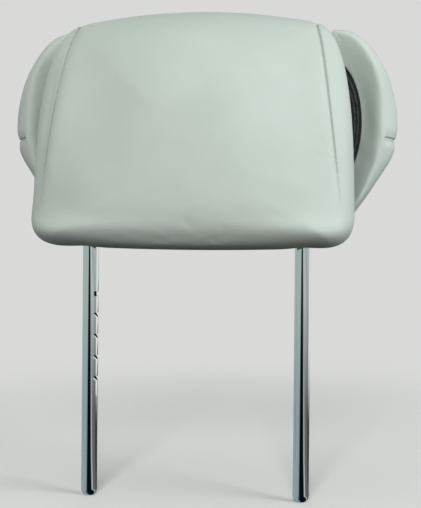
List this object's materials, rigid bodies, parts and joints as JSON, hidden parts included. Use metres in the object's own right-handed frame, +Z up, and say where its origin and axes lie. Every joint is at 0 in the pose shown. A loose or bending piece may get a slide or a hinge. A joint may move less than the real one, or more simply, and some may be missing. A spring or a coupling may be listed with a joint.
{
  "type": "car headrest",
  "caption": "Padded car headrest in pale leather on notched chrome posts, with upright side wings that fold forward on hinges.",
  "frame": {"origin": "midway between the tips of the two posts, on their axes", "axes": "+Z up along the posts, the padded face looks to -Y, +X is the viewer's right"},
  "size_m": [0.3042, 0.1274, 0.3669],
  "materials": {
    "leather": "fine-grained pale ivory leather with a green cast",
    "chrome": "mirror chrome",
    "steel": "zinc-plated",
    "black_plastic": "moulded matt",
    "trim_plastic": "fine-textured matt",
    "grey_plastic": "moulded matt",
    "foam": "moulded polyurethane foam",
    "bush": "plain sliding surface"
  },
  "bodies": {
    "headrest": {"post_left": "chrome", "post_right": "chrome", "carrier_plate": "steel", "post_clamp_right": "steel", "post_clamp_left": "steel", "core_front": "black_plastic", "core_rear": "black_plastic", "pad_foam": "foam", "pad_cover": "leather", "post_sleeve_right": "black_plastic", "post_sleeve_left": "black_plastic", "back_board": "black_plastic", "back_foam": "foam", "back_cover": "leather", "hinge_bracket_right": "steel", "hinge_bracket_left": "steel", "hinge_pin_right": "steel", "hinge_pin_left": "steel", "hinge_clip_right": "steel", "hinge_clip_left": "steel", "core_screw_right_low": "steel", "core_screw_left_low": "steel", "bracket_screw_right_low": "steel", "bracket_screw_left_low": "steel", "core_screw_right_high": "steel", "core_screw_left_high": "steel", "bracket_screw_right_high": "steel", "bracket_screw_left_high": "steel"},
    "right_wing": {"wing_frame_right": "grey_plastic", "wing_foam_right": "foam", "wing_cover_right": "leather", "wing_trim_right": "trim_plastic", "hinge_bush_low_right": "bush", "hinge_bush_high_right": "bush", "friction_sleeve_right": "steel"},
    "left_wing": {"wing_frame_left": "grey_plastic", "wing_foam_left": "foam", "wing_cover_left": "leather", "wing_trim_left": "trim_plastic", "hinge_bush_low_left": "bush", "hinge_bush_high_left": "bush", "friction_sleeve_left": "steel"}
  },
  "joints": [
    {"name": "right_wing_fold", "type": "hinge", "parent": "headrest", "child": "right_wing", "pos_m": [0.098, 0.03, 0.279], "axis": [0, 0, -1], "range_deg": [0, 30]},
    {"name": "left_wing_fold", "type": "hinge", "parent": "headrest", "child": "left_wing", "pos_m": [-0.098, 0.03, 0.279], "axis": [0, 0, 1], "range_deg": [0, 30]}
  ]
}
